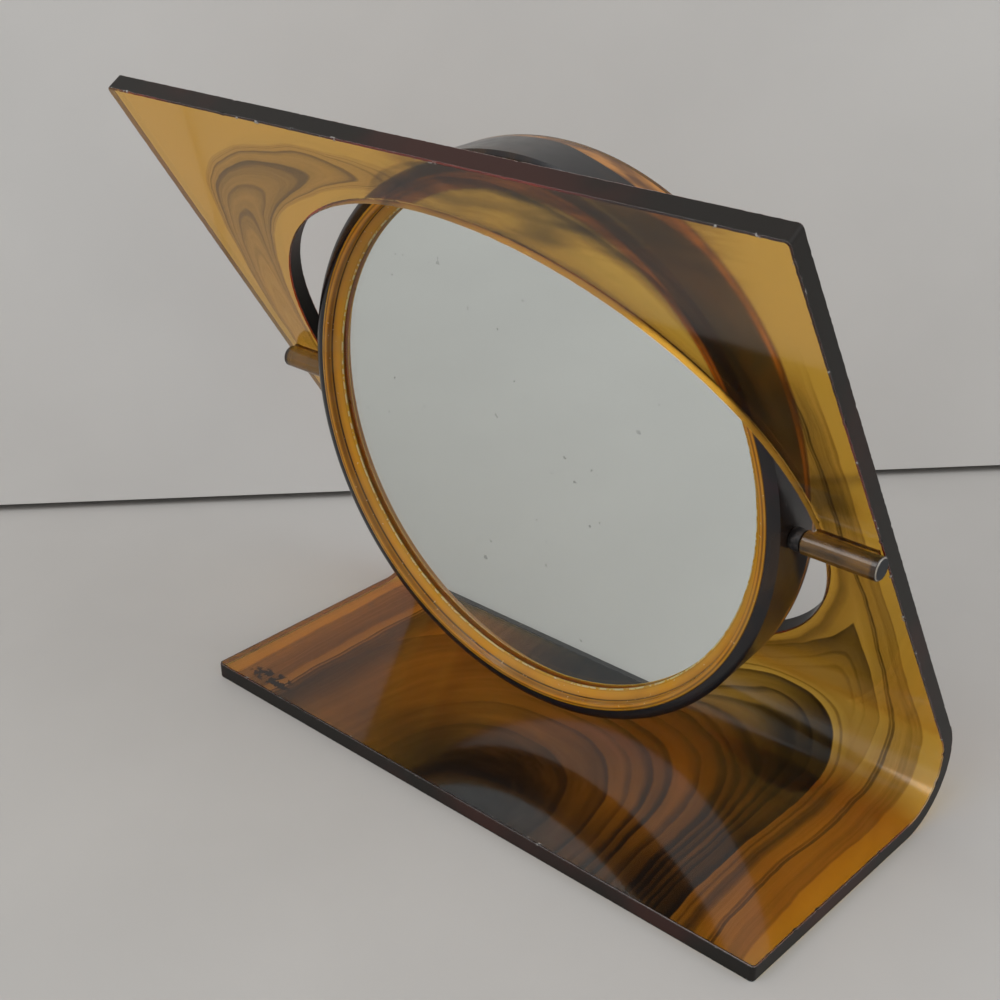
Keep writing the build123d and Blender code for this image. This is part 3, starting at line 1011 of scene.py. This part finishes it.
bezel_plastic = ring_plastic()
bezel = add_piece(
    "bezel_front_ring",
    [(marked(turned(bezel_outline, *drum_frame), way_along(bezel_outline)), 0)],
    [bezel_plastic], extra="face",
)
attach(bezel, "mirror")
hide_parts("front_bezel")


# The front glass: a round 2 mm float glass plate, silvered on its back.
glass_radius = 72.0 * mm
glass_rear_height = glass_front_height - glass_thickness


def clear_glass():
    """Float glass, faintly green."""
    material, paint = start_material("float_glass")
    return end_plain(material, paint, {
        "Base Color": (0.93, 0.97, 0.95, 1), "Roughness": 0.0, "IOR": 1.52,
        "Transmission Weight": 1.0,
    })


def silvering():
    """Silver on the back of the glass, with a few pinholes."""
    material, paint = start_material("silvering")
    place = object_place(paint)
    hole = place.noise(330, 2).rise(0.715, 0.745) * place.noise(30, 1).rise(0.45, 0.6) * 0.6
    return end_plain(material, paint, {
        "Base Color": hole.tint((0.865, 0.875, 0.87, 1), (0.3, 0.3, 0.3, 1)),
        "Metallic": 1.0, "Roughness": 0.0,
    })


glass_materials = [clear_glass(), silvering()]
glass_front = glass_front_height - optical_gap
glass_back = glass_rear_height + optical_gap
glass = add_piece(
    "front_glass_plate",
    [
        (turned([(0, glass_front), (glass_radius, glass_front)], *drum_frame), 0),
        (turned([(glass_radius, glass_front), (glass_radius, glass_back)], *drum_frame), 0),
        (turned([(glass_radius, glass_back), (0, glass_back)], *drum_frame), 1),
    ],
    glass_materials,
)
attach(glass, "mirror")
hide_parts("front_mirror_glass")


# The rear glass: a magnifying looking glass, hollow as seen from behind and silvered on
# its inner face. It is held by an amber bezel that closes the rear of the case.
rear_curve_radius = 600 * mm
rear_curve_steps = 20
rear_flange, rear_flange_round, rear_lip_edge = 1.5 * mm, 0.5 * mm, 0.6 * mm


def closed(*points):
    """Outline that ends where it starts."""
    return np.array([*points, points[0]])


def bowed(edge_height, count):
    """Radii and heights across a shallow sphere: at each radius the height above the rim
    is the fall of the sphere at the rim less its fall there."""
    radius = np.linspace(0, glass_radius, count)
    fall = rear_curve_radius - np.sqrt(rear_curve_radius ** 2 - radius ** 2)
    return np.stack([radius, edge_height + fall[-1] - fall], 1)


rear_outside = bowed(case_rear_height + optical_gap, rear_curve_steps)
rear_inside = bowed(case_rear_height + glass_thickness, rear_curve_steps)
rear_glass = add_piece(
    "rear_glass_plate",
    [
        (turned(rear_outside, *drum_frame), 0),
        (turned([rear_outside[-1], rear_inside[-1]], *drum_frame), 0),
        (turned(rear_inside, *drum_frame), 1),
    ],
    glass_materials,
)
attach(rear_glass, "mirror")
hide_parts("rear_mirror_glass")

flange_height = case_rear_height - rear_flange
round_middle = 0.3 * rear_flange_round      # how far in the middle of its round lies
rear_outline = closed(
    (bezel_outer_radius, ledge_rear_height - optical_gap),
    (skirt_radius, ledge_rear_height - optical_gap),
    (skirt_radius, case_rear_height - optical_gap),
    (lip_radius, case_rear_height - optical_gap),
    (lip_radius, case_rear_height - rear_lip_edge), (skirt_radius, flange_height),
    (case_rear_radius - rear_flange_round, flange_height),
    (case_rear_radius - round_middle, flange_height + round_middle),
    (case_rear_radius, flange_height + rear_flange_round),
    (case_rear_radius, case_rear_height - optical_gap),
    (bezel_outer_radius, case_rear_height - optical_gap),
)
rear_bezel = add_piece(
    "bezel_rear_ring",
    [(marked(turned(rear_outline, *drum_frame), case_rear_radius - rear_outline[:, 0]), 0)],
    [bezel_plastic], extra="face",
)
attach(rear_bezel, "mirror")
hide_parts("rear_bezel")


# The pins and the sleeve: turned steel pins pressed into the case, and on the right one a
# short dark sleeve that fills the gap to the rod.
sleeve_radius, sleeve_bore = 2.6 * mm, 1.25 * mm
sleeve_waist = 0.25 * mm
sleeve_turns = 48


def dress(node, material):
    """Puts a material in every slot of a node that stays as it is."""
    for slot in bpy.data.objects[node].material_slots:
        slot.material = material


def turned_steel():
    """Bright steel with fine rings from turning."""
    material, paint = start_material("turned_steel")
    place = object_place(paint)
    rings = place.noise(900, 2)
    return end_plain(material, paint, {
        "Base Color": rings.tint((0.45, 0.44, 0.42, 1), (0.62, 0.6, 0.57, 1)),
        "Metallic": 1.0, "Roughness": rings * 0.2 + 0.2,
    })


def dark_plastic():
    """Dark moulded plastic with a dusty surface."""
    material, paint = start_material("sleeve_plastic")
    place = object_place(paint)
    dust = place.noise(700, 4).rise(0.45, 0.7)
    return end_plain(material, paint, {
        "Base Color": dust.tint((0.008, 0.007, 0.007, 1), (0.05, 0.045, 0.042, 1)),
        "Roughness": dust * 0.3 + 0.4, "Specular IOR Level": 0.3,
    })


steel = turned_steel()
dress("left_pivot_pin", steel)
dress("right_pivot_pin", steel)
sleeve_low, sleeve_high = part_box("right_pin_spacer")
sleeve_length = sleeve_high.x - sleeve_low.x
sleeve_outline = np.vstack([
    crowned((sleeve_radius, 0), (sleeve_radius, sleeve_length), sleeve_waist),
    [(sleeve_bore, sleeve_length), (sleeve_bore, 0), (sleeve_radius, 0)],
])
sleeve = add_piece(
    "right_pin_sleeve",
    [(turned(
        sleeve_outline, (sleeve_low.x, pivot_y, pivot_z), (0, 1, 0), (0, 0, 1), (1, 0, 0),
        sleeve_turns,
    ), 0)],
    [dark_plastic()],
)
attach(sleeve, "mirror")
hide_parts("right_pin_spacer")


# The backing: a grey board disc behind the front glass, and a board ring that presses
# the two glasses against their bezels. Both were stamped from sheet.
def board():
    """Grey board, with the fibres of recycled paper."""
    material, paint = start_material("grey_board")
    place = object_place(paint)
    fibre = place.noise(1200, 6, 0.7)
    return end_plain(material, paint, {
        "Base Color": fibre.tint((0.16, 0.15, 0.13, 1), (0.34, 0.32, 0.28, 1)),
        "Roughness": 0.9,
    })


grey_board = board()
dress("backing_card", grey_board)
dress("packing_ring", grey_board)


# The cement: clear acrylic cement that was run in under each rod and stands proud of the
# joint as a low fillet.
cement = acrylic("hard_cement", (0.75, 0.66, 0.55, 1), 0.15)
dress("left_rod_cement", cement)
dress("right_rod_cement", cement)
